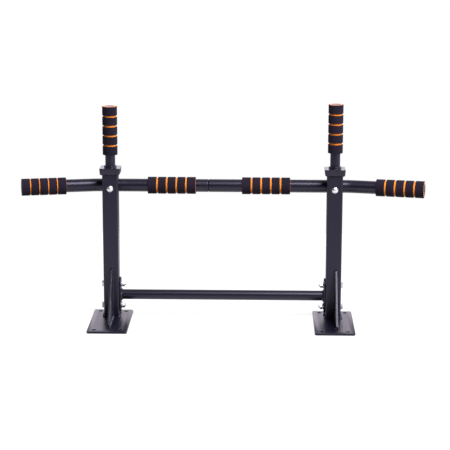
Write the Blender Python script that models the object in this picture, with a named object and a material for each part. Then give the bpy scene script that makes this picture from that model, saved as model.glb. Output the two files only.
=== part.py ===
"""Wall-mounted pull-up bar, modelled as the separate pieces it is assembled from.

The wall is the plane z = 0 and +Z points away from it. +X is to the right along the bars. -Y is the side
that hangs down when the bar is in use, where the gussets brace the arms. The origin is the centre of the
whole object's box on the wall plane. Sizes below are in millimetres and meshes are written in metres.
"""
from math import asin, cos, pi, radians, sin, sqrt

import bmesh
import bpy
from mathutils import Vector

MM = 0.001

# Fits between neighbouring pieces
SEAT_GAP = 0.3
BOLT_CLEARANCE = 0.3

# Arms: two square tubes standing out from the wall
ARM_SPACING = 545.0
ARM_SIDE = 38.0
ARM_WALL = 2.0
ARM_CORNER = 4.0
ARM_TOP = 374.0
SMALLEST_CORNER = 0.5

# Wall plates, which reach past the arm and its gusset all round
PLATE_THICKNESS = 5.0
PLATE_CORNER = 6.0
PLATE_BESIDE_ARM = 29.5
PLATE_BEHIND_ARM = 32.0
PLATE_BEYOND_GUSSET = 37.0
SCREW_HOLE = 10.0
SCREW_MARGIN = 17.0

# Gussets welded between each arm and its plate
GUSSET_LENGTH = 97.0
GUSSET_HEIGHT = 121.0
GUSSET_THICKNESS = 5.0
GUSSET_TIP = 6.0
GUSSET_OFFSET = {"left": 1.0, "right": 6.0}

# Main bar: two tubes joined over an inner sleeve, with bent outer ends
BAR_BELOW_ARM_TOP = 48.5
BAR_DIAMETER = 32.0
BAR_WALL = 2.0
BAR_SEAM = -35.0
BAR_BEYOND_ARM = 217.5
BEND_BESIDE_ARM = 8.0
BEND_RADIUS = 90.0
BEND_ANGLE = radians(12.0)
SLEEVE_LENGTH = 140.0
SLEEVE_WALL = 2.0

# Parallel grips: round tubes standing in the open ends of the arms
GRIP_TUBE_DIAMETER = 24.0
GRIP_TUBE_WALL = 2.0
GUIDE_HEIGHT = 14.0
GUIDE_BELOW_BOLT = 11.0

# Moulded caps that close the arms around the grip tubes
CAP_TOP_OVERHANG = 6.0
CAP_WAIST_OVERHANG = 4.5
CAP_LIP_OVERHANG = 2.0
CAP_SKIRT = 15.0
CAP_LIP = 3.0
CAP_TOP_THICKNESS = 2.0
CAP_CORNER = 4.0
COLLAR_WALL = 3.2
COLLAR_HEIGHT = 5.0

# Foam grips
FOAM_LENGTH = 118.0
OUTER_FOAM_LENGTH = {"left": 109.0, "right": 118.0}
BAR_FOAM_WALL = 5.0
TUBE_FOAM_WALL = 6.0
FOAM_GROOVES = 4
FOAM_GROOVE_WIDTH = 4.0
FOAM_GROOVE_DEPTH = 2.5
FOAM_EDGE = 1.5
CENTRE_FOAM_START = {"left": -184.0, "right": 47.0}
BARE_GRIP_TUBE = {"left": 26.0, "right": 33.0}

# Plugs in the open tube ends
PLUG_HEAD = 2.0
PLUG_DEPTH = 16.0

# Lower cross bar and its bolted end flanges
CROSS_DIAMETER = 25.0
CROSS_WALL = 2.0
FLANGE_INSET = 2.0
FLANGE_THICKNESS = 4.0
FLANGE_ABOVE_PLATE = 9.0
FLANGE_BOLT_BESIDE_BAR = 14.5

# Fasteners, all M8
BOLT_DIAMETER = 8.0
DOME_DIAMETER = 16.0
DOME_HEIGHT = 4.5
HEX_ACROSS_FLATS = 13.0
HEX_HEAD_HEIGHT = 5.3
NUT_HEIGHT = 6.8
BOLT_BEYOND_NUT = 3.5
WASHER_DIAMETER = 16.0
WASHER_THICKNESS = 1.6
SADDLE_WIDTH = 22.0
SADDLE_THICKNESS = 3.0
SADDLE_WRAP = 3.0
SADDLE_CORNER = 2.0

# Steps round a curve
TUBE_STEPS = 20
BOLT_STEPS = 16
HEX_STEPS = 12
CORNER_STEPS = 4
BEND_STEPS = 3
DOME_STEPS = 4
EDGE_ROUNDING = 0.8
SMOOTH_UNDER = radians(30.0)
SQUARE_QUARTER = (0.0, 12.0, 24.0, 36.0, 40.5, 45.0, 49.5, 54.0, 66.0, 78.0)

SIDES = {"left": -1, "right": 1}
X_AXIS = Vector((1.0, 0.0, 0.0))
Y_AXIS = Vector((0.0, 1.0, 0.0))
Z_AXIS = Vector((0.0, 0.0, 1.0))


# Sizes that follow from those above
BOLT_HOLE_RADIUS = BOLT_DIAMETER / 2 + BOLT_CLEARANCE
BAR_FOAM_DIAMETER = BAR_DIAMETER + 2 * BAR_FOAM_WALL
TUBE_FOAM_DIAMETER = GRIP_TUBE_DIAMETER + 2 * TUBE_FOAM_WALL
PLATE_WIDTH = ARM_SIDE + 2 * PLATE_BESIDE_ARM
PLATE_DEPTH = PLATE_BEHIND_ARM + ARM_SIDE + GUSSET_LENGTH + PLATE_BEYOND_GUSSET
FLANGE_WIDTH = ARM_SIDE - 2 * FLANGE_INSET
FLANGE_BOLT_OFFSET = CROSS_DIAMETER / 2 + FLANGE_BOLT_BESIDE_BAR
FLANGE_LENGTH = 2 * FLANGE_BOLT_OFFSET + FLANGE_WIDTH

# The box's depth runs from the plates' front edges to the hindmost of the foam, plates and bolt ends
FRONT_OF_ARM = PLATE_DEPTH - PLATE_BEHIND_ARM - ARM_SIDE
BOLT_BEHIND_ARM = BAR_DIAMETER + SADDLE_THICKNESS + NUT_HEIGHT + BOLT_BEYOND_NUT + 3 * SEAT_GAP
FOAM_BEHIND_ARM = SEAT_GAP + BAR_DIAMETER / 2 + BAR_FOAM_DIAMETER / 2
BEHIND_ARM = max(PLATE_BEHIND_ARM, FOAM_BEHIND_ARM, BOLT_BEHIND_ARM)
ARM_FRONT_Y = (FRONT_OF_ARM - ARM_SIDE - BEHIND_ARM) / 2
ARM_CENTRE_Y = ARM_FRONT_Y + ARM_SIDE / 2
ARM_BACK_Y = ARM_FRONT_Y + ARM_SIDE
PLATE_FRONT_Y = ARM_FRONT_Y - FRONT_OF_ARM
PLATE_BACK_Y = ARM_BACK_Y + PLATE_BEHIND_ARM

# Places along the arms and bars
ARM_X = ARM_SPACING / 2
ARM_FOOT = PLATE_THICKNESS + SEAT_GAP
BAR_Y = ARM_BACK_Y + SEAT_GAP + BAR_DIAMETER / 2
BAR_HEIGHT = ARM_TOP - BAR_BELOW_ARM_TOP
BAR_REACH = ARM_X + BAR_BEYOND_ARM
BEND_START = ARM_X + ARM_SIDE / 2 + BEND_BESIDE_ARM
CAP_TOP = ARM_TOP + SEAT_GAP + CAP_TOP_THICKNESS
GRIP_TUBE_FOOT = BAR_HEIGHT - GUIDE_BELOW_BOLT - GUIDE_HEIGHT
INNER_ARM_X = ARM_X - ARM_SIDE / 2
FLANGE_FACE_X = INNER_ARM_X - SEAT_GAP - FLANGE_THICKNESS
CROSS_HEIGHT = PLATE_THICKNESS + FLANGE_ABOVE_PLATE + FLANGE_LENGTH / 2
FLANGE_BOLT_HEIGHTS = {"lower": CROSS_HEIGHT - FLANGE_BOLT_OFFSET, "upper": CROSS_HEIGHT + FLANGE_BOLT_OFFSET}


def start_clean():
    """Remove whatever the scene starts with."""
    for item in list(bpy.data.objects):
        bpy.data.objects.remove(item, do_unlink=True)


def make_material(name, colour, roughness, metallic=0.0):
    """A Principled material of one colour."""
    material = bpy.data.materials.new(name)
    material.use_nodes = True
    shader = material.node_tree.nodes["Principled BSDF"]
    shader.inputs["Base Color"].default_value = (*colour, 1.0)
    shader.inputs["Roughness"].default_value = roughness
    shader.inputs["Metallic"].default_value = metallic
    material.diffuse_color = (*colour, 1.0)
    return material


def add_piece(name, mesh_builder, *materials):
    """Make a named object from a bmesh built in millimetres, with its faces pointing out."""
    bmesh.ops.recalc_face_normals(mesh_builder, faces=mesh_builder.faces)
    bmesh.ops.scale(mesh_builder, vec=(MM, MM, MM), verts=mesh_builder.verts)
    mesh = bpy.data.meshes.new(name)
    mesh_builder.to_mesh(mesh)
    mesh_builder.free()
    piece = bpy.data.objects.new(name, mesh)
    bpy.context.scene.collection.objects.link(piece)
    for material in materials:
        mesh.materials.append(material)
    mesh.shade_smooth()
    mesh.set_sharp_from_angle(angle=SMOOTH_UNDER)
    return piece


def loft(loops, ring=False, builder=None):
    """Skin a row of equal loops; a ring joins the last loop to the first, otherwise both ends are capped."""
    builder = builder or bmesh.new()
    rows = [[builder.verts.new(point) for point in loop] for loop in loops]
    pairs = list(zip(rows, rows[1:]))
    if ring:
        pairs.append((rows[-1], rows[0]))
    count = len(rows[0])
    for here, there in pairs:
        for step in range(count):
            after = (step + 1) % count
            builder.faces.new((here[step], here[after], there[after], there[step]))
    if not ring:
        builder.faces.new(rows[0])
        builder.faces.new(rows[-1])
    return builder


def circle(centre, radius, axis, steps):
    """Points of a circle about an axis through a centre."""
    across = axis.orthogonal().normalized()
    if abs(axis.z) < 0.5:
        across = Z_AXIS
    other = axis.normalized().cross(across)
    turns = [2 * pi * (step + 0.5) / steps for step in range(steps)]
    return [centre + (across * cos(turn) + other * sin(turn)) * radius for turn in turns]


def turned(profile, start, axis, steps, ring=False, builder=None):
    """Turn a profile of (distance along the axis, radius) pairs about an axis from a start point."""
    axis = axis.normalized()
    loops = [circle(start + axis * along, radius, axis, steps) for along, radius in profile]
    return loft(loops, ring, builder)


def square_turns():
    """Directions of a rounded square's points: even steps, and closer ones where its corners are."""
    return [radians(90.0 * side + turn) for side in range(4) for turn in SQUARE_QUARTER]


def rounded_square(width, corner, x, y, z):
    """Points of a square with round corners, level at height z: where each direction meets its outline."""
    half = width / 2
    inset = half - corner
    points = []
    for turn in square_turns():
        along_x = abs(cos(turn))
        along_y = abs(sin(turn))
        reach = half / max(along_x, along_y)
        if reach * min(along_x, along_y) > inset:
            across = inset * (along_x + along_y)
            reach = across + sqrt(max(across ** 2 - 2 * inset ** 2 + corner ** 2, 0.0))
        points.append(Vector((x + reach * cos(turn), y + reach * sin(turn), z)))
    return points


def square_bore(radius, x, y, z):
    """A circle with its points in the same directions as those of a rounded square."""
    return [Vector((x + radius * cos(turn), y + radius * sin(turn), z)) for turn in square_turns()]


def rounded_rectangle(width, depth, corner):
    """Pairs of places round a rectangle about its centre, with an arc at each corner."""
    places = []
    for quarter in range(4):
        middle = pi / 4 + quarter * pi / 2
        corner_x = (width / 2 - corner) * (1 if cos(middle) > 0 else -1)
        corner_y = (depth / 2 - corner) * (1 if sin(middle) > 0 else -1)
        for step in range(CORNER_STEPS + 1):
            turn = quarter * pi / 2 + step * pi / 2 / CORNER_STEPS
            places.append((corner_x + corner * cos(turn), corner_y + corner * sin(turn)))
    return places


def hexagon(centre, axis, largest, across_flats=HEX_ACROSS_FLATS):
    """Points of a hexagon about an axis, with its corners trimmed to a largest radius."""
    across = Z_AXIS
    other = axis.normalized().cross(across)
    points = []
    for step in range(HEX_STEPS):
        turn = 2 * pi * step / HEX_STEPS
        off_flat = (turn + pi / 6) % (pi / 3) - pi / 6
        radius = min(across_flats / 2 / cos(off_flat), largest)
        points.append(centre + (across * cos(turn) + other * sin(turn)) * radius)
    return points


def cut(piece, name, builder):
    """Cut a piece with a hidden body."""
    cutter = add_piece(name, builder)
    cutter.hide_render = True
    cutter.display_type = "WIRE"
    modifier = piece.modifiers.new("Cut " + name, "BOOLEAN")
    modifier.operation = "DIFFERENCE"
    modifier.solver = "EXACT"
    modifier.object = cutter


def round_edges(piece, width):
    """Break a plate's sharp edges."""
    modifier = piece.modifiers.new("Broken edges", "BEVEL")
    modifier.width = width * MM
    modifier.segments = 1
    modifier.limit_method = "ANGLE"
    modifier.angle_limit = radians(50.0)


def hole(start, end, radius=BOLT_HOLE_RADIUS, builder=None, steps=BOLT_STEPS):
    """A round cutter from one point to another."""
    span = end - start
    return turned([(0.0, radius), (span.length, radius)], start, span, steps, builder=builder)


def wall_plate(side, x, steel):
    """Flat plate with rounded corners and four screw holes."""
    middle_y = (PLATE_FRONT_Y + PLATE_BACK_Y) / 2
    outline = rounded_rectangle(PLATE_WIDTH, PLATE_DEPTH, PLATE_CORNER)
    loops = [[Vector((x + across, middle_y + along, z)) for across, along in outline]
             for z in (0.0, PLATE_THICKNESS)]
    plate = add_piece("wall_plate_" + side, loft(loops), steel)
    round_edges(plate, EDGE_ROUNDING)
    cutter = bmesh.new()
    for hole_x in (x - PLATE_WIDTH / 2 + SCREW_MARGIN, x + PLATE_WIDTH / 2 - SCREW_MARGIN):
        for hole_y in (PLATE_FRONT_Y + SCREW_MARGIN, PLATE_BACK_Y - SCREW_MARGIN):
            below = Vector((hole_x, hole_y, -PLATE_THICKNESS))
            above = Vector((hole_x, hole_y, 2 * PLATE_THICKNESS))
            hole(below, above, SCREW_HOLE / 2, cutter)
    cut(plate, "screw_holes_" + side, cutter)


def arm_tube(side, x, steel):
    """Square tube with round corners, drilled for the main bar's bolt and the flange bolts."""
    inner_side = ARM_SIDE - 2 * ARM_WALL
    inner_corner = max(ARM_CORNER - ARM_WALL, SMALLEST_CORNER)
    loops = [rounded_square(ARM_SIDE, ARM_CORNER, x, ARM_CENTRE_Y, ARM_FOOT),
             rounded_square(ARM_SIDE, ARM_CORNER, x, ARM_CENTRE_Y, ARM_TOP),
             rounded_square(inner_side, inner_corner, x, ARM_CENTRE_Y, ARM_TOP),
             rounded_square(inner_side, inner_corner, x, ARM_CENTRE_Y, ARM_FOOT)]
    arm = add_piece("arm_tube_" + side, loft(loops, ring=True), steel)
    cutter = bmesh.new()
    hole(Vector((x, ARM_FRONT_Y - ARM_WALL, BAR_HEIGHT)), Vector((x, ARM_BACK_Y + ARM_WALL, BAR_HEIGHT)),
         builder=cutter)
    reach = ARM_SIDE / 2 + ARM_WALL
    for z in FLANGE_BOLT_HEIGHTS.values():
        hole(Vector((x - reach, ARM_CENTRE_Y, z)), Vector((x + reach, ARM_CENTRE_Y, z)), builder=cutter)
    cut(arm, "arm_holes_" + side, cutter)


def gusset(side, x, steel):
    """Triangular brace with clipped tips, standing on the plate against the arm's front face."""
    back = ARM_FRONT_Y - SEAT_GAP
    front = back - GUSSET_LENGTH
    top = ARM_FOOT + GUSSET_HEIGHT
    outline = [(back, ARM_FOOT), (back, top), (back - GUSSET_TIP, top), (front, ARM_FOOT + GUSSET_TIP),
               (front, ARM_FOOT)]
    centre = x + GUSSET_OFFSET[side]
    loops = [[Vector((centre + half, y, z)) for y, z in outline]
             for half in (-GUSSET_THICKNESS / 2, GUSSET_THICKNESS / 2)]
    brace = add_piece("gusset_" + side, loft(loops), steel)
    round_edges(brace, EDGE_ROUNDING)


def arm_end_cap(side, x, plastic):
    """Moulded cap: a skirt round the arm's end, a flat top and a collar round the grip tube."""
    y = ARM_CENTRE_Y
    skirt_foot = CAP_TOP - CAP_TOP_THICKNESS - CAP_SKIRT
    under_top = CAP_TOP - CAP_TOP_THICKNESS
    bore = GRIP_TUBE_DIAMETER / 2 + SEAT_GAP
    collar = bore + COLLAR_WALL
    collar_top = CAP_TOP + COLLAR_HEIGHT
    inner_width = ARM_SIDE + 2 * SEAT_GAP
    top_width = ARM_SIDE + 2 * CAP_TOP_OVERHANG
    loops = [rounded_square(ARM_SIDE + 2 * CAP_LIP_OVERHANG, CAP_CORNER, x, y, skirt_foot),
             rounded_square(ARM_SIDE + 2 * CAP_WAIST_OVERHANG, CAP_CORNER, x, y, skirt_foot + CAP_LIP),
             rounded_square(top_width, CAP_CORNER, x, y, CAP_TOP - EDGE_ROUNDING),
             rounded_square(top_width - 2 * EDGE_ROUNDING, CAP_CORNER, x, y, CAP_TOP),
             square_bore(collar, x, y, CAP_TOP),
             square_bore(collar, x, y, collar_top - EDGE_ROUNDING),
             square_bore(collar - EDGE_ROUNDING, x, y, collar_top),
             square_bore(bore, x, y, collar_top),
             square_bore(bore, x, y, under_top),
             rounded_square(inner_width, ARM_CORNER, x, y, under_top),
             rounded_square(inner_width, ARM_CORNER, x, y, skirt_foot)]
    add_piece("arm_end_cap_" + side, loft(loops, ring=True), plastic)


def tube_foam_foot(side):
    """Height where a grip tube's foam starts, above the bare tube over the cap."""
    return CAP_TOP + COLLAR_HEIGHT + BARE_GRIP_TUBE[side]


def grip_tube_top(side):
    """Height of a grip tube's open end, under its plug's head at the foam's end."""
    return tube_foam_foot(side) + FOAM_LENGTH - PLUG_HEAD - SEAT_GAP


def tube_profile(start, end, diameter, wall):
    """Profile of a plain round tube for turning."""
    outer = diameter / 2
    inner = outer - wall
    return [(start, outer), (end, outer), (end, inner), (start, inner)]


def grip_tube(side, x, steel):
    """Round tube down inside the arm, pinned by the main bar's bolt."""
    profile = tube_profile(GRIP_TUBE_FOOT, grip_tube_top(side), GRIP_TUBE_DIAMETER, GRIP_TUBE_WALL)
    start = Vector((x, ARM_CENTRE_Y, 0.0))
    tube = add_piece("parallel_grip_tube_" + side, turned(profile, start, Z_AXIS, TUBE_STEPS, True), steel)
    middle = Vector((x, ARM_CENTRE_Y, BAR_HEIGHT))
    reach = Y_AXIS * (GRIP_TUBE_DIAMETER / 2 + GRIP_TUBE_WALL)
    cutter = hole(middle - reach, middle + reach)
    cut(tube, "grip_tube_hole_" + side, cutter)


def tube_guide(side, x, plastic):
    """Moulded guide that centres the grip tube's lower end in the square arm."""
    y = ARM_CENTRE_Y
    width = ARM_SIDE - 2 * ARM_WALL - 2 * SEAT_GAP
    bore = GRIP_TUBE_DIAMETER / 2 + SEAT_GAP
    outer = rounded_square(width, max(ARM_CORNER - ARM_WALL, SMALLEST_CORNER), x, y, GRIP_TUBE_FOOT)
    loops = [outer,
             [point + Z_AXIS * GUIDE_HEIGHT for point in outer],
             square_bore(bore, x, y, GRIP_TUBE_FOOT + GUIDE_HEIGHT),
             square_bore(bore, x, y, GRIP_TUBE_FOOT)]
    add_piece("grip_tube_guide_" + side, loft(loops, ring=True), plastic)


def bend_end(sign):
    """End of the main bar's bend: its centre line's place and heading."""
    turn_x = BEND_RADIUS * sin(BEND_ANGLE)
    turn_y = BEND_RADIUS * (1 - cos(BEND_ANGLE))
    place = Vector((sign * (BEND_START + turn_x), BAR_Y - turn_y, BAR_HEIGHT))
    heading = Vector((sign * cos(BEND_ANGLE), -sin(BEND_ANGLE), 0.0))
    return place, heading


def bar_tip(sign):
    """Outer end of the main bar with its plug, where the outer foam ends too."""
    place, heading = bend_end(sign)
    run = (BAR_REACH - abs(place.x)) / cos(BEND_ANGLE)
    return place + heading * run, heading


def bar_half(side, sign, steel):
    """One tube of the main bar: straight from the seam past the arm, then bent and straight to its end."""
    tip, heading = bar_tip(sign)
    tube_end = tip - heading * (PLUG_HEAD + SEAT_GAP)
    stations = [(Vector((BAR_SEAM + sign * SEAT_GAP / 2, BAR_Y, BAR_HEIGHT)), X_AXIS * sign)]
    for step in range(BEND_STEPS + 1):
        turn = BEND_ANGLE * step / BEND_STEPS
        place = Vector((sign * (BEND_START + BEND_RADIUS * sin(turn)),
                        BAR_Y - BEND_RADIUS * (1 - cos(turn)), BAR_HEIGHT))
        stations.append((place, Vector((sign * cos(turn), -sin(turn), 0.0))))
    stations.append((tube_end, heading))
    radius = BAR_DIAMETER / 2
    outside = [circle(place, radius, axis, TUBE_STEPS) for place, axis in stations]
    inside = [circle(place, radius - BAR_WALL, axis, TUBE_STEPS) for place, axis in reversed(stations)]
    bar = add_piece("main_bar_" + side, loft(outside + inside, ring=True), steel)
    x = sign * ARM_X
    reach = BAR_DIAMETER / 2 + BAR_WALL
    cutter = hole(Vector((x, BAR_Y - reach, BAR_HEIGHT)), Vector((x, BAR_Y + reach, BAR_HEIGHT)))
    cut(bar, "bar_hole_" + side, cutter)


def joining_sleeve(steel):
    """Inner sleeve that joins the two halves of the main bar at the seam."""
    diameter = BAR_DIAMETER - 2 * BAR_WALL - 2 * SEAT_GAP
    profile = tube_profile(-SLEEVE_LENGTH / 2, SLEEVE_LENGTH / 2, diameter, SLEEVE_WALL)
    start = Vector((BAR_SEAM, BAR_Y, BAR_HEIGHT))
    add_piece("main_bar_joining_sleeve", turned(profile, start, X_AXIS, TUBE_STEPS, True), steel)


def foam_profile(length, diameter, tube_diameter):
    """Profile of a foam grip: bands between narrow grooves, eased at both ends, and a plain bore."""
    outer = diameter / 2
    floor = outer - FOAM_GROOVE_DEPTH
    eased = outer - FOAM_EDGE / 2
    pitch = length / (FOAM_GROOVES + 1)
    profile = []
    for band in range(FOAM_GROOVES + 1):
        start = band * pitch + (FOAM_GROOVE_WIDTH / 2 if band else 0.0)
        end = (band + 1) * pitch - (FOAM_GROOVE_WIDTH / 2 if band < FOAM_GROOVES else 0.0)
        first = [(start, floor), (start, outer)] if band else [(start, eased), (start + FOAM_EDGE, outer)]
        last = [(end, outer), (end, floor)]
        if band == FOAM_GROOVES:
            last = [(end - FOAM_EDGE, outer), (end, eased)]
        profile += first + last
    bore = tube_diameter / 2 + SEAT_GAP
    return profile + [(length, bore), (0.0, bore)]


def foam_grip(name, start, axis, length, diameter, tube_diameter, foam, core):
    """Foam sleeve on a tube, with the coloured core bare in its grooves and at its ends."""
    profile = foam_profile(length, diameter, tube_diameter)
    builder = turned(profile, start, axis, TUBE_STEPS, ring=True)
    bare = diameter / 2 - FOAM_EDGE
    heading = axis.normalized()
    for face in builder.faces:
        off = face.calc_center_median() - start
        off_axis = (off - heading * off.dot(heading)).length
        face.material_index = 1 if off_axis < bare else 0
    add_piece(name, builder, foam, core)


def plug(name, open_end, outward, diameter, wall, plastic):
    """Push-in plug: a flat head over the tube's end and a stub inside it."""
    stub = diameter / 2 - wall - SEAT_GAP
    head = diameter / 2
    start = open_end + outward * SEAT_GAP
    profile = [(-PLUG_DEPTH, stub - EDGE_ROUNDING), (-PLUG_DEPTH + 2 * EDGE_ROUNDING, stub), (0.0, stub),
               (0.0, head), (PLUG_HEAD - EDGE_ROUNDING, head), (PLUG_HEAD, head - EDGE_ROUNDING)]
    add_piece(name, turned(profile, start, outward, TUBE_STEPS), plastic)


def cross_bar(steel):
    """Lower cross bar between the two flanges."""
    end = FLANGE_FACE_X - SEAT_GAP
    profile = tube_profile(-end, end, CROSS_DIAMETER, CROSS_WALL)
    start = Vector((0.0, ARM_CENTRE_Y, CROSS_HEIGHT))
    add_piece("cross_bar", turned(profile, start, X_AXIS, TUBE_STEPS, True), steel)


def flange(side, sign, steel):
    """Long plate with round ends that carries the cross bar on the arm's inner face."""
    radius = FLANGE_WIDTH / 2
    straight = FLANGE_LENGTH / 2 - radius
    loops = []
    for x in (FLANGE_FACE_X, FLANGE_FACE_X + FLANGE_THICKNESS):
        loop = []
        for step in range(TUBE_STEPS):
            turn = 2 * pi * (step + 0.5) / TUBE_STEPS
            rise = straight if sin(turn) > 0 else -straight
            loop.append(Vector((sign * x, ARM_CENTRE_Y + radius * cos(turn),
                                CROSS_HEIGHT + rise + radius * sin(turn))))
        loops.append(loop)
    plate = add_piece("cross_bar_flange_" + side, loft(loops), steel)
    cutter = bmesh.new()
    for z in FLANGE_BOLT_HEIGHTS.values():
        hole(Vector((sign * (FLANGE_FACE_X - FLANGE_THICKNESS), ARM_CENTRE_Y, z)),
             Vector((sign * (INNER_ARM_X + FLANGE_THICKNESS), ARM_CENTRE_Y, z)), builder=cutter)
    cut(plate, "flange_holes_" + side, cutter)


def hex_bolt(name, under_head, direction, length, zinc):
    """Hexagon head bolt; its shank runs from under the head along a direction."""
    full = HEX_ACROSS_FLATS
    chamfered = HEX_ACROSS_FLATS / 2
    top = under_head - direction * HEX_HEAD_HEIGHT
    radius = BOLT_DIAMETER / 2
    loops = [hexagon(top, direction, chamfered),
             hexagon(top + direction * EDGE_ROUNDING, direction, full),
             hexagon(under_head, direction, full)]
    shank = [hexagon(under_head, direction, radius),
             hexagon(under_head + direction * (length - EDGE_ROUNDING), direction, radius),
             hexagon(under_head + direction * length, direction, radius - EDGE_ROUNDING)]
    add_piece(name, loft(loops + shank), zinc)


def nut(name, seat, direction, zinc):
    """Hexagon nut on its seat, with chamfered faces."""
    bore = BOLT_HOLE_RADIUS
    full = HEX_ACROSS_FLATS
    chamfered = HEX_ACROSS_FLATS / 2
    far = seat + direction * NUT_HEIGHT
    loops = [hexagon(seat, direction, chamfered),
             hexagon(seat + direction * EDGE_ROUNDING, direction, full),
             hexagon(far - direction * EDGE_ROUNDING, direction, full),
             hexagon(far, direction, chamfered),
             hexagon(far, direction, bore),
             hexagon(seat, direction, bore)]
    add_piece(name, loft(loops, ring=True), zinc)


def flat_washer(name, seat, direction, zinc):
    """Flat round washer on its seat."""
    profile = [(0.0, WASHER_DIAMETER / 2), (WASHER_THICKNESS, WASHER_DIAMETER / 2),
               (WASHER_THICKNESS, BOLT_HOLE_RADIUS), (0.0, BOLT_HOLE_RADIUS)]
    add_piece(name, turned(profile, seat, direction, BOLT_STEPS, True), zinc)


def flange_fasteners(side, sign, zinc):
    """Two bolts through the arm and flange, each with a washer and a nut on the inner side."""
    inward = X_AXIS * -sign
    for place, z in FLANGE_BOLT_HEIGHTS.items():
        tag = side + "_" + place
        outside = Vector((sign * (ARM_X + ARM_SIDE / 2 + SEAT_GAP), ARM_CENTRE_Y, z))
        washer_seat = Vector((sign * (FLANGE_FACE_X - SEAT_GAP), ARM_CENTRE_Y, z))
        nut_seat = washer_seat + inward * (WASHER_THICKNESS + SEAT_GAP)
        bolt_end = nut_seat + inward * (NUT_HEIGHT + BOLT_BEYOND_NUT)
        hex_bolt("cross_bar_bolt_" + tag, outside, inward, (bolt_end - outside).length, zinc)
        flat_washer("cross_bar_washer_" + tag, washer_seat, inward, zinc)
        nut("cross_bar_nut_" + tag, nut_seat, inward, zinc)


def dome_bolt(side, x, zinc):
    """Long bolt with a low domed head, through the arm, the grip tube and the main bar."""
    under_head = Vector((x, ARM_FRONT_Y - SEAT_GAP, BAR_HEIGHT))
    head_radius = DOME_DIAMETER / 2
    sphere = (head_radius ** 2 + DOME_HEIGHT ** 2) / (2 * DOME_HEIGHT)
    spread = asin(head_radius / sphere)
    profile = []
    for step in range(1, DOME_STEPS + 1):
        turn = spread * step / DOME_STEPS
        profile.append((sphere - DOME_HEIGHT - sphere * cos(turn), sphere * sin(turn)))
    radius = BOLT_DIAMETER / 2
    length = ARM_SIDE + SEAT_GAP + BOLT_BEHIND_ARM
    profile += [(0.0, radius), (length - EDGE_ROUNDING, radius), (length, radius - EDGE_ROUNDING)]
    add_piece("main_bar_bolt_" + side, turned(profile, under_head, Y_AXIS, BOLT_STEPS), zinc)


def saddle_washer(side, x, zinc):
    """Washer hollowed to sit on the main bar's back, flat under the nut."""
    radius = BAR_DIAMETER / 2 + SEAT_GAP
    back = BAR_Y + radius + SADDLE_THICKNESS
    front = BAR_Y + radius - SADDLE_WRAP
    outline = rounded_rectangle(SADDLE_WIDTH, SADDLE_WIDTH, SADDLE_CORNER)
    loops = [[Vector((x + across, y, BAR_HEIGHT + along)) for across, along in outline]
             for y in (front, back)]
    washer = add_piece("main_bar_saddle_washer_" + side, loft(loops), zinc)
    reach = SADDLE_WIDTH
    cutter = turned([(-reach, radius), (reach, radius)], Vector((x, BAR_Y, BAR_HEIGHT)), X_AXIS, TUBE_STEPS)
    cut(washer, "saddle_hollow_" + side, cutter)
    bore = hole(Vector((x, BAR_Y, BAR_HEIGHT)), Vector((x, back + SADDLE_THICKNESS, BAR_HEIGHT)))
    cut(washer, "saddle_bore_" + side, bore)


def main_bar_fasteners(side, x, zinc):
    """Domed bolt, saddle washer and nut that hold the main bar on the arm."""
    dome_bolt(side, x, zinc)
    saddle_washer(side, x, zinc)
    seat_y = BAR_Y + BAR_DIAMETER / 2 + SADDLE_THICKNESS + 2 * SEAT_GAP
    nut("main_bar_nut_" + side, Vector((x, seat_y, BAR_HEIGHT)), Y_AXIS, zinc)


def foam_grips(foam, core):
    """The six foam grips: two on the bar between the arms, two on its ends and two on the grip tubes."""
    for side, sign in SIDES.items():
        centre_start = Vector((CENTRE_FOAM_START[side], BAR_Y, BAR_HEIGHT))
        foam_grip("centre_foam_grip_" + side, centre_start, X_AXIS, FOAM_LENGTH, BAR_FOAM_DIAMETER,
                  BAR_DIAMETER, foam, core)
        tip, heading = bar_tip(sign)
        foam_grip("outer_foam_grip_" + side, tip, -heading, OUTER_FOAM_LENGTH[side], BAR_FOAM_DIAMETER,
                  BAR_DIAMETER, foam, core)
        foot = Vector((sign * ARM_X, ARM_CENTRE_Y, tube_foam_foot(side)))
        foam_grip("parallel_foam_grip_" + side, foot, Z_AXIS, FOAM_LENGTH, TUBE_FOAM_DIAMETER,
                  GRIP_TUBE_DIAMETER, foam, core)


def build():
    """Build every piece."""
    start_clean()
    steel = make_material("black_powder_coat", (0.026, 0.024, 0.036), 0.35)
    plastic = make_material("black_moulded_plastic", (0.02, 0.02, 0.026), 0.3)
    foam = make_material("black_foam", (0.02, 0.019, 0.024), 0.9)
    core = make_material("orange_foam_core", (0.8, 0.21, 0.02), 0.85)
    zinc = make_material("bright_zinc_plate", (0.75, 0.76, 0.78), 0.2, 1.0)
    for side, sign in SIDES.items():
        x = sign * ARM_X
        wall_plate(side, x, steel)
        arm_tube(side, x, steel)
        gusset(side, x, steel)
        arm_end_cap(side, x, plastic)
        grip_tube(side, x, steel)
        tube_guide(side, x, plastic)
        tube_end = Vector((x, ARM_CENTRE_Y, grip_tube_top(side)))
        plug("grip_tube_plug_" + side, tube_end, Z_AXIS, GRIP_TUBE_DIAMETER, GRIP_TUBE_WALL, plastic)
        bar_half(side, sign, steel)
        tip, heading = bar_tip(sign)
        bar_end = tip - heading * (PLUG_HEAD + SEAT_GAP)
        plug("main_bar_plug_" + side, bar_end, heading, BAR_DIAMETER, BAR_WALL, plastic)
        main_bar_fasteners(side, x, zinc)
        flange(side, sign, steel)
        flange_fasteners(side, sign, zinc)
    joining_sleeve(steel)
    cross_bar(steel)
    foam_grips(foam, core)


build()
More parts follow.
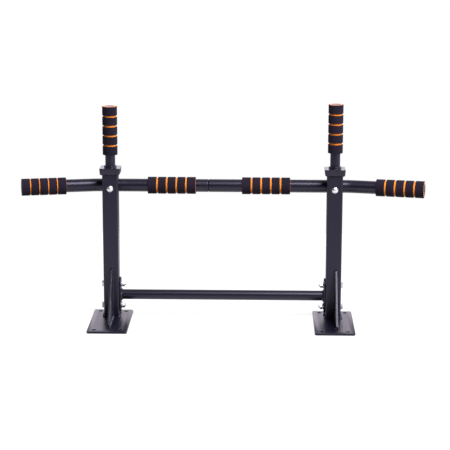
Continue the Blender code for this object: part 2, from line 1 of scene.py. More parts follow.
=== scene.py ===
"""Finish for a wall-mounted pull-up bar, laid out as a Blender add-on and run as a script.

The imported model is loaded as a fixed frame. Each operator below makes one kind of piece around it, as a
surface worked out with numpy, and gives it the finish of the real material. The bar stands on its two wall
plates, so +Z points away from the wall and -Y is the side that hangs down in use.
"""
from math import atan2, cos, pi, radians, sin, tan

import bmesh
import bpy
import numpy as np
from bpy.props import FloatProperty, FloatVectorProperty, IntProperty, PointerProperty
from mathutils import Matrix, Vector


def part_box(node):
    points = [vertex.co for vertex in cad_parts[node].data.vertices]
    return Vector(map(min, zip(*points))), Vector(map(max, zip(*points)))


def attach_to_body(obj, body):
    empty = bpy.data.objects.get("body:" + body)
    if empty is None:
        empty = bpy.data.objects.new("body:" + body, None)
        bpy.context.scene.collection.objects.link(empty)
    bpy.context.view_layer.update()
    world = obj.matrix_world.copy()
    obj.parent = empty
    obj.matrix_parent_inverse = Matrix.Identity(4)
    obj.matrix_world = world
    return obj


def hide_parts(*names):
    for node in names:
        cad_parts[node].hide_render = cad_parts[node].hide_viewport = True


bl_info = {
    "name": "Pull-up Bar",
    "version": (1, 0, 0),
    "blender": (4, 5, 0),
    "location": "3D View > Sidebar > Pull-up Bar",
    "description": "Dresses a wall-mounted pull-up bar with its finished pieces, materials and studio",
    "category": "Object",
}

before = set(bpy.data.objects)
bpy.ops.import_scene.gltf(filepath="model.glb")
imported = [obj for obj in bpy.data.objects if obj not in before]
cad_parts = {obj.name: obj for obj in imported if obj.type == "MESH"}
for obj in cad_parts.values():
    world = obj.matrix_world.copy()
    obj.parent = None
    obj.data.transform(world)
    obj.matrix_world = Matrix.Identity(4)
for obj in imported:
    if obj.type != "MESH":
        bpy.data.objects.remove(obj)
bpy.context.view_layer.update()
BODY = "root"
MM = 0.001
SIDES = {"left": -1, "right": 1}

# The record's material slots
PAINT_SLOT = "black_powder_coat"
PLASTIC_SLOT = "black_moulded_plastic"
FOAM_SLOT = "black_foam_rubber"
ZINC_SLOT = "bright_zinc_plate"

# Steps round tubes, round the square caps, and in each rounded corner, fine enough that none shows
ROUND_STEPS = 96
SQUARE_STEPS = 256
CORNER_STEPS = 6
GUSSET_STEPS = 3

# Steps in the flanges' round ends, the main bar's bends, the domed heads, the hexagons' cones and the saddle
# washers, and in each turn of a thread
END_STEPS = 16
BEND_STEPS = 25
DOME_STEPS = 24
CONE_STEPS = 7
SADDLE_STEPS = 20
THREAD_STEPS = 8

# Steps in the weld round the cross bar, in each ripple of a bead, and round the bead
RING_STEPS = 48
RIPPLE_STEPS = 6
BEAD_SIDES = 14

# Faces that meet at more than this are shaded with an edge between them
SHARP_ANGLE = radians(35)

# Cut edges sharper than this are rounded by a bevel
BEVEL_ANGLE = radians(50)
BEVEL_SEGMENTS = 3

# Points nearer to each other than this are merged
WELD_GAP = 1e-7

# Room between pieces that fit over each other
CLEARANCE = 0.3 * MM

# Rounding of the straight tubes' ends and of the round washers' edges
TUBE_EDGE = 0.5 * MM
WASHER_EDGE = 0.3 * MM

# A hexagon's corners are turned down by a cone: its angle, and where it starts as a share of the width
CONE_ANGLE = radians(30)
CONE_START = 0.475

# Threaded length of every bolt
THREAD = 24.0 * MM

# Head of a plug and its length inside the tube
PLUG_HEAD = 2.0 * MM
PLUG_DEPTH = 16.0 * MM

# Between these a noise texture has nearly all its values
NOISE_LOW = 0.3
NOISE_HIGH = 0.7

# Width of the faint patches in every finish, and the colour of the powder coat's mirror light
PATCH_SIZE = 40 * MM
COOL_GLINT = (0.82, 0.78, 1.0, 1.0)


def linear(hex_colour):
    """An sRGB hex colour as the linear red, green and blue that shaders take."""
    values = [int(hex_colour[i:i + 2], 16) / 255 for i in (1, 3, 5)]
    return tuple(v / 12.92 if v <= 0.04045 else ((v + 0.055) / 1.055) ** 2.4 for v in values)


def middle(node):
    """Centre of a node's box."""
    low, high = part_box(node)
    return (low + high) / 2


def extent(node):
    """Size of a node's box."""
    low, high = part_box(node)
    return high - low


# Sizes and places read from the frame
ARM_SIDE = extent("arm_tube_left").x
ARM_X = {side: middle("arm_tube_" + side).x for side in SIDES}
ARM_Y = middle("arm_tube_left").y
ARM_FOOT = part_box("arm_tube_left")[0].z
ARM_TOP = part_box("arm_tube_left")[1].z
PLATE_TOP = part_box("wall_plate_left")[1].z
BAR_HEIGHT = middle("main_bar_left").z
BAR_RADIUS = extent("main_bar_left").z / 2
BAR_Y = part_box("main_bar_left")[1].y - BAR_RADIUS
BAR_SEAM = (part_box("main_bar_left")[1].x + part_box("main_bar_right")[0].x) / 2
BAR_REACH = {side: abs(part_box("main_bar_" + side)[0 if sign < 0 else 1].x) for side, sign in SIDES.items()}
CROSS_HEIGHT = middle("cross_bar").z
CROSS_RADIUS = extent("cross_bar").z / 2
CROSS_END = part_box("cross_bar")[1].x
GRIP_RADIUS = extent("parallel_grip_tube_left").x / 2
CAP_TOP_WIDTH = extent("arm_end_cap_left").x


def colour_property(name, description, hex_colour):
    """A colour that a user may change, from its sRGB hex value."""
    return FloatVectorProperty(name=name, description=description, subtype="COLOR", size=3, min=0, max=1,
                               default=linear(hex_colour))


def length_property(name, description, millimetres):
    """A length that a user may change."""
    return FloatProperty(name=name, description=description, unit="LENGTH", default=millimetres * MM)


def angle_property(name, description, degrees):
    """An angle that a user may change."""
    return FloatProperty(name=name, description=description, subtype="ANGLE", default=radians(degrees))


class FinishSettings(bpy.types.PropertyGroup):
    """Colours of the pull-up bar's finishes."""
    paint: colour_property("Powder coat", "Black powder coat on the steel", "#0a0919")
    plastic: colour_property("Plastic", "Moulded caps and plugs", "#1b1824")
    foam: colour_property("Foam", "Black outer layer of the foam grips", "#201b28")
    core: colour_property("Foam core", "Orange inner layer of the foam grips", "#f08c28")
    zinc: colour_property("Zinc", "Bright zinc plate on bolts, nuts and washers", "#e8eaed")


class FrameSettings(bpy.types.PropertyGroup):
    """Sizes of the steel frame that its box doesn't give."""
    arm_corner: length_property("Arm corner", "Radius of the square tubes' corners", 4.0)
    tube_wall: length_property("Tube wall", "Wall of every tube", 2.0)
    bend_angle: angle_property("Bend", "Angle of the main bar's ends", 12)
    bend_radius: length_property("Bend radius", "Radius of the main bar's bends", 90.0)
    bend_beside_arm: length_property("Bend beside arm", "Straight tube between arm and bend", 8.0)
    plate_corner: length_property("Plate corner", "Radius of the wall plates' corners", 6.0)
    screw_hole: length_property("Screw hole", "Diameter of the holes in the wall plates", 10.0)
    screw_margin: length_property("Screw margin", "From a hole's centre to the plate's edges", 17.0)
    edge: length_property("Edge", "Rounding of cut edges under the paint", 0.8)
    seam_edge: length_property("Seam edge", "Rounding of the main bar's two halves at their seam", 2.0)
    rim: length_property("Hole rim", "Rounding of drilled holes' rims", 0.25)
    gusset_tip: length_property("Gusset tip", "Width of the gussets' clipped tips", 6.0)
    bead: length_property("Weld bead", "Radius of the weld beads", 3.5)
    bead_ripple: length_property("Weld ripple", "Spacing of the ripples along a weld bead", 2.4)


class GripSettings(bpy.types.PropertyGroup):
    """Sizes of the foam grips and of the moulded caps."""
    grooves: IntProperty(name="Grooves", description="Grooves round each foam grip", default=4, min=1, max=9)
    groove_width: length_property("Groove width", "Width of a groove at its floor", 4.2)
    narrow_groove: length_property("Narrow groove", "Width of the left outer grip's grooves", 2.7)
    groove_depth: length_property("Groove depth", "Depth of a groove", 2.2)
    band_edge: length_property("Band edge", "Rounding of the foam bands' edges", 0.7)
    core_reach: length_property("Core reach", "How far the core stands out at a grip's ends", 0.3)
    cap_corner: length_property("Cap corner", "Radius of the caps' corners", 4.0)
    cap_edge: length_property("Cap edge", "Rounding of the caps' edges", 0.8)
    cap_chamfer: length_property("Cap chamfer", "Height of the slope round a cap's foot", 2.6)
    cap_taper: length_property("Cap taper", "How much wider a cap is at its top", 2.0)
    cap_wall: length_property("Cap wall", "Wall of a cap", 2.0)
    collar_wall: length_property("Collar wall", "Wall of the collar on a cap", 3.2)
    collar_height: length_property("Collar height", "Height of the collar on a cap", 5.0)


class FastenerSettings(bpy.types.PropertyGroup):
    """Sizes of the M8 bolts and nuts."""
    shank: length_property("Shank", "Diameter of the bolts", 8.0)
    pitch: length_property("Pitch", "Pitch of the thread", 1.25)
    thread_depth: length_property("Thread depth", "Depth of the thread", 0.7)
    flats: length_property("Across flats", "Width of heads and nuts across their flats", 13.0)
    head: length_property("Head", "Height of a hexagon head", 5.3)
    head_turn: angle_property("Head turn", "How far the hexagon heads are turned", 30)
    dome: length_property("Dome", "Height of a domed head", 4.5)
    saddle_corner: length_property("Saddle corner", "Radius of the saddle washers' corners", 2.0)


class StageSettings(bpy.types.PropertyGroup):
    """Camera and light."""
    place: FloatVectorProperty(name="Camera", description="Where the camera stands", subtype="TRANSLATION",
                               unit="LENGTH", size=3, default=(0.0957, -3.7507, 1.0619))
    yaw: angle_property("Yaw", "How far the camera is turned left", 1.35)
    pitch: angle_property("Pitch", "How far the camera looks down", 12.3)
    roll: angle_property("Roll", "How far the camera is rolled", 0.10)
    lens: FloatProperty(name="Lens", description="Focal length in millimetres", default=127.2)
    surround: FloatProperty(name="Surround", description="Strength of the light from all round", default=1.0)
    key: FloatProperty(name="Key light", description="Power of the soft box in watts", default=265.0)


def add_node(tree, kind, settings=None, links=None):
    """Add a node of a kind with its settings; links say which output feeds each of its sockets, by name or
    number."""
    node = tree.nodes.new(kind)
    for name, value in (settings or {}).items():
        if isinstance(name, int) or name in node.inputs:
            node.inputs[name].default_value = value
        else:
            setattr(node, name, value)
    for socket, output in (links or {}).items():
        tree.links.new(output, node.inputs[socket])
    return node


def new_material(name):
    """An empty material with its output, and the tree that holds them."""
    material = bpy.data.materials.new(name)
    material.use_nodes = True
    tree = material.node_tree
    tree.nodes.clear()
    output = tree.nodes.new("ShaderNodeOutputMaterial")
    return material, tree, output


def finish_material(name, setting, roughness, grain_mm, bump_mm, variation=0.12, shader=None):
    """A surface in the colour of a setting, with grain of a real size: its noise bumps the surface and varies
    roughness and colour a little."""
    found = bpy.data.materials.get(name)
    if found:
        return found
    material, tree, output = new_material(name)
    colour = getattr(bpy.context.scene.bar_finish, setting)
    roughness_range = 0.06
    place = add_node(tree, "ShaderNodeTexCoord").outputs["Object"]
    grain = add_node(tree, "ShaderNodeTexNoise",
                     {"Scale": 1 / (grain_mm * MM), "Detail": 3.0, "Roughness": 0.6},
                     {"Vector": place}).outputs["Fac"]
    patches = add_node(tree, "ShaderNodeTexNoise", {"Scale": 1 / PATCH_SIZE, "Detail": 2.0},
                       {"Vector": place})
    shade = add_node(tree, "ShaderNodeMapRange",
                     {"From Min": NOISE_LOW, "From Max": NOISE_HIGH, "To Min": 1 - variation,
                      "To Max": 1 + variation}, {"Value": patches.outputs["Fac"]})
    tinted = add_node(tree, "ShaderNodeVectorMath", {"operation": "SCALE", 0: colour},
                      {"Scale": shade.outputs["Result"]})
    gloss = add_node(tree, "ShaderNodeMapRange",
                     {"From Min": NOISE_LOW, "From Max": NOISE_HIGH, "To Min": roughness - roughness_range,
                      "To Max": roughness + roughness_range}, {"Value": grain})
    bump = add_node(tree, "ShaderNodeBump", {"Strength": 1.0, "Distance": bump_mm * MM}, {"Height": grain})
    surface = add_node(tree, "ShaderNodeBsdfPrincipled", shader,
                       {"Base Color": tinted.outputs["Vector"], "Roughness": gloss.outputs["Result"],
                        "Normal": bump.outputs["Normal"]})
    tree.links.new(surface.outputs["BSDF"], output.inputs["Surface"])
    return material


def paint():
    """Polyester powder coat on steel, sprayed and baked: satin, with the fine orange peel of melted powder
    and the cool glint of its clear binder."""
    # Real orange peel repeats every 1 to 2 mm
    return finish_material("Black polyester powder coat", "paint", roughness=0.36, grain_mm=1.6, bump_mm=0.02,
                           shader={"IOR": 1.52, "Specular Tint": COOL_GLINT})


def weld_paint():
    """The same powder coat over weld beads, a little thinner and glossier on the ridges."""
    return finish_material("Powder coat over weld", "paint", roughness=0.29, grain_mm=0.9, bump_mm=0.05,
                           shader={"IOR": 1.52, "Specular Tint": COOL_GLINT})


def plastic():
    """Polypropylene, injection moulded in a polished tool: smooth and fairly glossy, with faint flow
    marks."""
    return finish_material("Moulded polypropylene", "plastic", roughness=0.26, grain_mm=2.5, bump_mm=0.008,
                           shader={"IOR": 1.47, "Specular Tint": COOL_GLINT})


def foam():
    """Black nitrile foam rubber, skived: matt and full of fine cells about 0.5 mm wide, whose torn walls
    catch light at a grazing angle."""
    # Cells are drawn 0.9 mm wide, coarser than the real ones, so that they still show
    return finish_material("Black nitrile foam", "foam", roughness=0.88, grain_mm=0.9, bump_mm=0.06,
                           variation=0.2,
                           shader={"IOR": 1.35, "Specular IOR Level": 0.25, "Specular Tint": COOL_GLINT,
                                   "Sheen Weight": 0.02, "Sheen Roughness": 0.5})


def core_foam():
    """Orange nitrile foam under the black layer: the same fine cells, cut open, and paler at a grazing
    angle."""
    return finish_material("Orange nitrile foam", "core", roughness=0.85, grain_mm=0.9, bump_mm=0.03,
                           variation=0.1,
                           shader={"IOR": 1.35, "Sheen Weight": 0.5, "Sheen Roughness": 0.35})


def zinc():
    """Bright zinc plate on steel, clear passivated: a metal with a soft mirror gloss and faint patches."""
    return finish_material("Bright zinc plate", "zinc", roughness=0.42, grain_mm=1.2, bump_mm=0.006,
                           variation=0.05, shader={"Metallic": 1.0})


# The record's slot for each finish
SLOTS = {paint: PAINT_SLOT, weld_paint: PAINT_SLOT, plastic: PLASTIC_SLOT, foam: FOAM_SLOT,
         core_foam: FOAM_SLOT, zinc: ZINC_SLOT}


def grid(points, close_rows=False):
    """Quads between neighbouring points of a grid of rows and columns. Each row is a closed loop, and the
    last row may join the first."""
    rows, columns = points.shape[:2]
    index = np.arange(rows * columns).reshape(rows, columns)
    here = index if close_rows else index[:-1]
    there = np.roll(index, -1, axis=0) if close_rows else index[1:]
    quads = (here, np.roll(here, -1, axis=1), np.roll(there, -1, axis=1), there)
    return points.reshape(-1, 3), np.stack(quads, axis=-1).reshape(-1, 4)


def flat_cap(loop):
    """One flat face inside a closed loop of points."""
    return loop, [list(range(len(loop)))]


def make_piece(name, shells, finish, *nodes):
    """Put shells of points and faces into one mesh, close its seams and poles, turn its faces outwards, and
    give it a finish."""
    points = np.vstack([shell[0] for shell in shells])
    faces = []
    start = 0
    for shell_points, shell_faces in shells:
        faces += [[int(corner) + start for corner in face] for face in shell_faces]
        start += len(shell_points)
    mesh = bpy.data.meshes.new(name)
    mesh.from_pydata(points.tolist(), [], faces)
    tidy_mesh(mesh)
    piece = bpy.data.objects.new(name, mesh)
    bpy.context.scene.collection.objects.link(piece)
    mesh.materials.append(finish())
    return attach(piece, SLOTS[finish], *nodes)


def tidy_mesh(mesh):
    """Merge doubles, drop faces of no area, turn faces outwards and shade smooth up to sharp edges."""
    builder = bmesh.new()
    builder.from_mesh(mesh)
    bmesh.ops.remove_doubles(builder, verts=builder.verts, dist=WELD_GAP)
    bmesh.ops.dissolve_degenerate(builder, edges=builder.edges, dist=WELD_GAP)
    bmesh.ops.recalc_face_normals(builder, faces=builder.faces)
    builder.to_mesh(mesh)
    builder.free()
    mesh.shade_smooth()
    mesh.set_sharp_from_angle(angle=SHARP_ANGLE)


def attach(piece, slot, *nodes):
    """Ride a piece on the frame and let it stand for its CAD nodes."""
    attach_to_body(piece, BODY)
    if nodes:
        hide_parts(*nodes)
    return piece


def full_turn(steps):
    """Evenly spaced angles once round a circle."""
    return np.linspace(0, 2 * pi, steps, endpoint=False)


def rounded(corners, steps=CORNER_STEPS):
    """A closed outline with an arc at each corner (x, y, radius), touching both its sides; a point just
    outside each arc keeps the shading of the flat beside it flat."""
    hold_share = 0.15
    outline = []
    for index, (x, y, radius) in enumerate(corners):
        corner = np.array((x, y))
        if radius == 0:
            outline.append(corner[None, :])
            continue
        before = np.array(corners[index - 1][:2]) - corner
        after = np.array(corners[(index + 1) % len(corners)][:2]) - corner
        before /= np.linalg.norm(before)
        after /= np.linalg.norm(after)
        half = np.arccos(np.clip(before @ after, -1, 1)) / 2
        reach = radius / tan(half)
        bisector = (before + after) / np.linalg.norm(before + after)
        centre = corner + bisector * radius / sin(half)
        start = corner + before * reach - centre
        finish = corner + after * reach - centre
        first = atan2(start[1], start[0])
        turn = (atan2(finish[1], finish[0]) - first + pi) % (2 * pi) - pi
        turns = first + turn * np.linspace(0, 1, steps + 1)
        arc = centre + radius * np.stack((np.cos(turns), np.sin(turns)), axis=-1)
        hold = radius * hold_share
        outline += [(arc[0] + before * hold)[None, :], arc, (arc[-1] + after * hold)[None, :]]
    return np.vstack(outline)


def rectangle(low, high, corner, steps=CORNER_STEPS):
    """A closed outline of a rectangle between two opposite corners, with each corner rounded."""
    return rounded([(low[0], low[1], corner), (high[0], low[1], corner), (high[0], high[1], corner),
                    (low[0], high[1], corner)], steps)


def at_height(outline, height):
    """The points of a flat outline, all at one height."""
    return np.column_stack((outline, np.full(len(outline), height)))


def all_round(radii, steps):
    """Each radius once more for every direction round it."""
    return np.repeat(radii[:, None], steps, axis=1)


def carry(places, radii, first, second, ring):
    """Rings about places on a path, each with its own radius in every direction: the directions turn from the
    first of two that are square to the path towards the second."""
    turns = full_turn(radii.shape[1])[None, :, None]
    spokes = np.cos(turns) * first[:, None, :] + np.sin(turns) * second[:, None, :]
    return grid(places[:, None, :] + radii[:, :, None] * spokes, close_rows=ring)


def spin_rows(heights, radii, start, axis, ring=False):
    """Rings at heights along a straight axis, with a radius for each height and direction."""
    axis = np.array(axis, float) / np.linalg.norm(axis)
    level = abs(axis[2]) < 0.5
    first = np.array((0.0, 0.0, 1.0)) if level else np.array((1.0, 0.0, 0.0))
    second = np.cross(axis, first)
    return carry(np.array(start) + heights[:, None] * axis, radii, first[None, :], second[None, :], ring)


def revolve(profile, start, axis, ring=True):
    """A surface of revolution: a profile of (distance along the axis, radius) turned about the axis."""
    return spin_rows(profile[:, 0], all_round(profile[:, 1], ROUND_STEPS), start, axis, ring)


def sleeve_profile(start, end, inner, outer, edge):
    """Profile of a plain tube with rounded ends."""
    return rounded([(start, outer, edge), (end, outer, edge), (end, inner, edge / 2),
                    (start, inner, edge / 2)])


def square_loop(width, corner, centre):
    """A square with round corners as a function of direction: its flat sides, or where the ray meets a
    corner's arc."""
    turns = full_turn(SQUARE_STEPS)
    along, beside = np.abs(np.cos(turns)), np.abs(np.sin(turns))
    half = width / 2
    inset = half - corner
    reach = half / np.maximum(along, beside)
    spread = inset * (along + beside)
    arc = spread + np.sqrt(np.maximum(spread ** 2 - 2 * inset ** 2 + corner ** 2, 0))
    reach = np.where(reach * np.minimum(along, beside) > inset, arc, reach)
    return np.array(centre) + np.stack((reach * np.cos(turns), reach * np.sin(turns), 0 * turns), axis=-1)


def round_loop(radius, centre):
    """A level circle with its points in the same directions as those of a square loop."""
    turns = full_turn(SQUARE_STEPS)
    return np.array(centre) + radius * np.stack((np.cos(turns), np.sin(turns), 0 * turns), axis=-1)


def slab(outline, thickness, origin, along, beside):
    """A flat plate: an outline in two directions from an origin, carried through a thickness."""
    along, beside = np.array(along, float), np.array(beside, float)
    through = np.cross(along, beside)
    loops = np.array([np.array(origin) + outline[:, 0, None] * along + outline[:, 1, None] * beside
                      + depth * through for depth in (0, thickness)])
    return [grid(loops), flat_cap(loops[0]), flat_cap(loops[1])]


def settle(piece, *helpers):
    """Replace a piece's mesh by what its modifiers make of it, and remove the bodies that they used."""
    bpy.context.view_layer.update()
    evaluated = piece.evaluated_get(bpy.context.evaluated_depsgraph_get())
    mesh = bpy.data.meshes.new_from_object(evaluated)
    piece.modifiers.clear()
    piece.data = mesh
    for helper in helpers:
        bpy.data.objects.remove(helper)
    tidy_mesh(mesh)


def drill(piece, holes):
    """Cut round holes, each given by its start, axis, length and radius."""
    shells = [revolve(np.array(((0, 0), (0, radius), (length, radius), (length, 0))), start, axis, ring=False)
              for start, axis, length, radius in holes]
    cutter = make_piece(piece.name + "_drill", shells, paint)
    cut = piece.modifiers.new("Holes", "BOOLEAN")
    cut.operation = "DIFFERENCE"
    cut.object = cutter
    settle(piece, cutter)


def soften(piece, width):
    """Round the cut edges of a plate."""
    bevel = piece.modifiers.new("Rounded edges", "BEVEL")
    bevel.width = width
    bevel.segments = BEVEL_SEGMENTS
    bevel.limit_method = "ANGLE"
    bevel.angle_limit = BEVEL_ANGLE
    bevel.harden_normals = True


def bead(path, radius, ripple, closed=False):
    """A weld bead: a circle carried along a path, its radius swelling over each ripple like overlapping
    scales, with two slow waves that make it uneven. An open bead narrows to its ends."""
    path = np.array(path, float)
    if closed:
        path = np.vstack((path, path[:1]))
    lengths = np.concatenate(((0,), np.cumsum(np.linalg.norm(np.diff(path, axis=0), axis=1))))
    count = int(lengths[-1] / (ripple / RIPPLE_STEPS))
    stations = np.linspace(0, lengths[-1], count, endpoint=not closed)
    centres = np.stack([np.interp(stations, lengths, path[:, axis]) for axis in range(3)], axis=-1)
    headings = np.roll(centres, -1, axis=0) - np.roll(centres, 1, axis=0)
    if not closed:
        headings[0], headings[-1] = centres[1] - centres[0], centres[-1] - centres[-2]
    headings /= np.linalg.norm(headings, axis=1)[:, None]
    # No bead runs this way, so it always gives a direction square to the bead
    skew = np.array((0.31, 0.17, 0.94))
    first = np.cross(headings, skew)
    first /= np.linalg.norm(first, axis=1)[:, None]
    second = np.cross(headings, first)
    phase = stations / ripple
    least, swell = 0.9, 0.22
    waves = 0.10 * np.sin(0.83 * phase) + 0.07 * np.sin(0.37 * phase + 1.3)
    size = radius * (least + swell * (phase % 1.0) + waves)
    if not closed:
        size *= np.sqrt(np.clip(np.minimum(stations, lengths[-1] - stations) / radius, 0, 1))
    return carry(centres, all_round(size, BEAD_SIDES), first, second, closed)


def bend_start(side):
    """Distance from the seam to where the main bar starts to bend."""
    settings = bpy.context.scene.bar_frame
    return abs(ARM_X[side]) + ARM_SIDE / 2 + settings.bend_beside_arm - SIDES[side] * BAR_SEAM


def bend_path(side, distance):
    """The main bar's centre line at distances from the seam: straight past the arm, round an arc, then
    straight again. Gives the places and the headings."""
    settings = bpy.context.scene.bar_frame
    sign = SIDES[side]
    distance = np.asarray(distance, float)
    first = bend_start(side)
    radius, angle = settings.bend_radius, settings.bend_angle
    turn = np.clip((distance - first) / radius, 0, angle)
    straight = np.minimum(distance, first)
    last = np.maximum(distance - first - radius * angle, 0)
    x = sign * BAR_SEAM + straight + radius * np.sin(turn) + last * cos(angle)
    y = BAR_Y - radius * (1 - np.cos(turn)) - last * sin(angle)
    places = np.stack((sign * x, y, np.full_like(x, BAR_HEIGHT)), axis=-1)
    headings = np.stack((sign * np.cos(turn), -np.sin(turn), 0 * turn), axis=-1)
    return places, headings


def distance_at(side, x):
    """Distance along the main bar, past its bend, at which it reaches a place along X."""
    settings = bpy.context.scene.bar_frame
    radius, angle = settings.bend_radius, settings.bend_angle
    first = bend_start(side)
    past = abs(x) - (first + SIDES[side] * BAR_SEAM) - radius * sin(angle)
    return first + radius * angle + past / cos(angle)


def hexagon_radius(turns, flats):
    """Distance from a hexagon's centre to its side in each direction."""
    return flats / 2 / np.cos((turns + pi / 6) % (pi / 3) - pi / 6)


def hexagon_rows(height, flats, both_ends, turned=0.0):
    """A hexagon prism with its corners turned down by a cone at its top or at both ends: the smaller of the
    hexagon's and the cone's radius, on a grid of heights and directions. Gives heights and radii."""
    corner = flats / 2 / cos(pi / 6)
    cone_start = flats * CONE_START
    drop = (corner - cone_start) * tan(CONE_ANGLE)
    slope = 1 / tan(CONE_ANGLE)
    heights = np.concatenate((np.linspace(0, drop, CONE_STEPS),
                              np.linspace(height - drop, height, CONE_STEPS)))
    cone = np.minimum(np.full_like(heights, corner), cone_start + (height - heights) * slope)
    if both_ends:
        cone = np.minimum(cone, cone_start + heights * slope)
    return heights, np.minimum(hexagon_radius(full_turn(ROUND_STEPS) + turned, flats)[None, :], cone[:, None])


def hexagon_head(start, axis, height, flats, turned):
    """A bolt's hexagon head, flat under and chamfered on top, closed at both ends, as it was left when
    tightened."""
    heights, radii = hexagon_rows(height, flats, False, turned)
    heights = np.concatenate(((0,), heights, (height,)))
    radii = np.vstack((0 * radii[:1], radii, 0 * radii[:1]))
    return spin_rows(heights, radii, start, axis)


def hexagon_nut(start, axis, height, flats, bore):
    """A nut: chamfered outside at both ends, with a bore whose mouths are coned a little wider."""
    heights, radii = hexagon_rows(height, flats, True)
    mouth = bore * 0.12
    inner = np.array((bore + mouth, bore, bore, bore + mouth))
    heights = np.concatenate((heights, (height, height - mouth, mouth, 0)))
    radii = np.vstack((radii, all_round(inner, ROUND_STEPS)))
    return spin_rows(heights, radii, start, axis, ring=True)


def domed_head(start, radius, height):
    """A domed head towards +Y: a cap of a sphere, whose rim turns under to a flat underside."""
    sphere = (radius ** 2 + height ** 2) / (2 * height)
    dome_end, rim, under_rim, rim_height = 0.97 * radius, 0.995 * radius, 0.98 * radius, 0.96 * height
    turns = np.linspace(0, np.arcsin(dome_end / sphere), DOME_STEPS)
    dome = np.column_stack((sphere - sphere * np.cos(turns), sphere * np.sin(turns)))
    profile = np.vstack((dome, ((rim_height, rim), (height, under_rim), (height, 0))))
    return revolve(profile, start, (0, 1, 0), ring=False)


def threaded_rod(start, axis, plain, settings):
    """A bolt's shank: plain, then a helix whose radius falls and rises once a pitch, with a coned end."""
    turns = full_turn(ROUND_STEPS // 2)
    rows = np.linspace(0, THREAD, int(THREAD / settings.pitch * THREAD_STEPS))
    phase = (rows[:, None] / settings.pitch - turns[None, :] / (2 * pi)) % 1.0
    tooth = np.abs(2 * phase - 1)
    outer = settings.shank / 2
    radii = outer - settings.thread_depth * tooth
    radii = np.minimum(radii, outer - settings.thread_depth + np.maximum(THREAD - rows, 0)[:, None])
    heights = np.concatenate(((0, 0), (plain,), plain + rows, (plain + THREAD,)))
    full = np.full((1, len(turns)), outer)
    radii = np.vstack((0 * full, full, full, radii, 0 * full))
    return spin_rows(heights, radii, start, axis)


def saddle_washer(node, bore, corner):
    """A square washer, flat behind and hollow in front: rings run from its bore out to its square side, and
    its front lies on the main bar's circle down to the tips of its hollow."""
    low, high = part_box(node)
    inner = round_loop(bore, (0, 0, 0))
    outer = square_loop(high.x - low.x, corner, (0, 0, 0))
    share = np.linspace(0, 1, SADDLE_STEPS)[:, None, None]
    spread = inner + share * (outer - inner)
    hollow = BAR_RADIUS + CLEARANCE
    front = np.maximum(low.y, BAR_Y + np.sqrt(hollow ** 2 - spread[..., 1] ** 2))
    place = middle(node)
    rings = np.stack((place.x + spread[..., 0], front, place.z + spread[..., 1]), axis=-1)
    back = rings[::-1].copy()
    back[..., 1] = high.y
    return grid(np.concatenate((rings, back)), close_rows=True)


class BAR_OT_wall_plates(bpy.types.Operator):
    """Make the two wall plates with their screw holes"""
    bl_idname = "bar.wall_plates"
    bl_label = "Wall plates"

    def execute(self, context):
        settings = context.scene.bar_frame
        for side in SIDES:
            node = "wall_plate_" + side
            low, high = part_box(node)
            outline = rectangle(low, high, settings.plate_corner)
            shells = slab(outline, high.z - low.z, (0, 0, low.z), (1, 0, 0), (0, 1, 0))
            plate = make_piece("wall_plate_steel_" + side, shells, paint, node)
            soften(plate, settings.edge)
            settle(plate)
            margin = settings.screw_margin
            # The holes are cut from one thickness below the plate to one above it
            holes = [((x, y, -high.z), (0, 0, 1), 3 * high.z, settings.screw_hole / 2)
                     for x in (low.x + margin, high.x - margin) for y in (low.y + margin, high.y - margin)]
            drill(plate, holes)
            soften(plate, settings.rim)
        return {"FINISHED"}


class BAR_OT_arms(bpy.types.Operator):
    """Make the two square arms"""
    bl_idname = "bar.arms"
    bl_label = "Arms"

    def execute(self, context):
        settings = context.scene.bar_frame
        half, corner, wall = ARM_SIDE / 2, settings.arm_corner, settings.tube_wall
        for side, x in ARM_X.items():
            outer, inner = [rectangle((x - reach, ARM_Y - reach), (x + reach, ARM_Y + reach), radius)
                            for reach, radius in ((half, corner), (half - wall, corner - wall))]
            points = np.array([at_height(outer, ARM_FOOT), at_height(outer, ARM_TOP),
                               at_height(inner, ARM_TOP), at_height(inner, ARM_FOOT)])
            make_piece("arm_steel_" + side, [grid(points, close_rows=True)], paint, "arm_tube_" + side)
        return {"FINISHED"}


class BAR_OT_gussets(bpy.types.Operator):
    """Make the triangular gussets in front of the arms"""
    bl_idname = "bar.gussets"
    bl_label = "Gussets"

    def execute(self, context):
        settings = context.scene.bar_frame
        tip, edge = settings.gusset_tip, settings.edge
        for side in SIDES:
            node = "gusset_" + side
            low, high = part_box(node)
            outline = rounded([(high.y, low.z, 0), (high.y, high.z, 0), (high.y - tip, high.z, edge),
                               (low.y, low.z + tip, 2 * edge), (low.y, low.z, 0)], GUSSET_STEPS)
            shells = slab(outline, high.x - low.x, (low.x, 0, 0), (0, 1, 0), (0, 0, 1))
            gusset = make_piece("gusset_steel_" + side, shells, paint, node)
            soften(gusset, edge)
        return {"FINISHED"}


